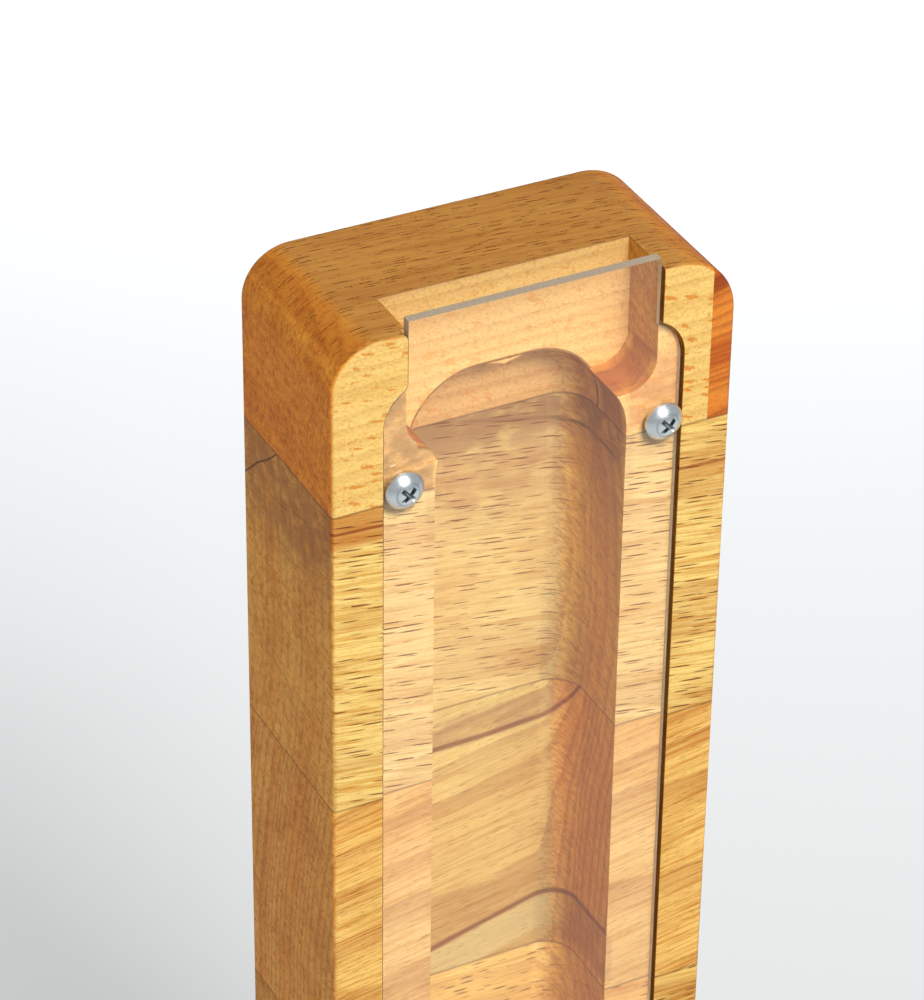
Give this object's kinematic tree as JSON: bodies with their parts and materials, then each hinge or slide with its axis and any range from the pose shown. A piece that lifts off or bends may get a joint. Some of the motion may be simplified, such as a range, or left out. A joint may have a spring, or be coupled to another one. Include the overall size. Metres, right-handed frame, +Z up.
{
  "type": "windowed wooden holder",
  "caption": "Tall block of glued wooden staves with a routed channel, a drop-in slot in its top and a clear window screwed flush into its front.",
  "frame": {"origin": "centre of the block's flat base", "axes": "+Z up along the channel, -Y out of the front face that holds the window, +X to the right seen from the front"},
  "size_m": [0.08, 0.0406, 0.3224],
  "materials": {
    "pale_wood": "oiled",
    "orange_wood": "oiled",
    "golden_wood": "oiled",
    "tan_wood": "oiled",
    "clear_sheet": "clear, polished",
    "zinc": "bright zinc plated"
  },
  "bodies": {
    "root": {"top_stave": "pale_wood", "top_stave_end": "orange_wood", "stave_2": "golden_wood", "stave_3": "tan_wood", "stave_4": "golden_wood", "stave_5": "pale_wood", "bottom_stave": "tan_wood", "window": "clear_sheet", "window_screws": "zinc"}
  },
  "joints": []
}
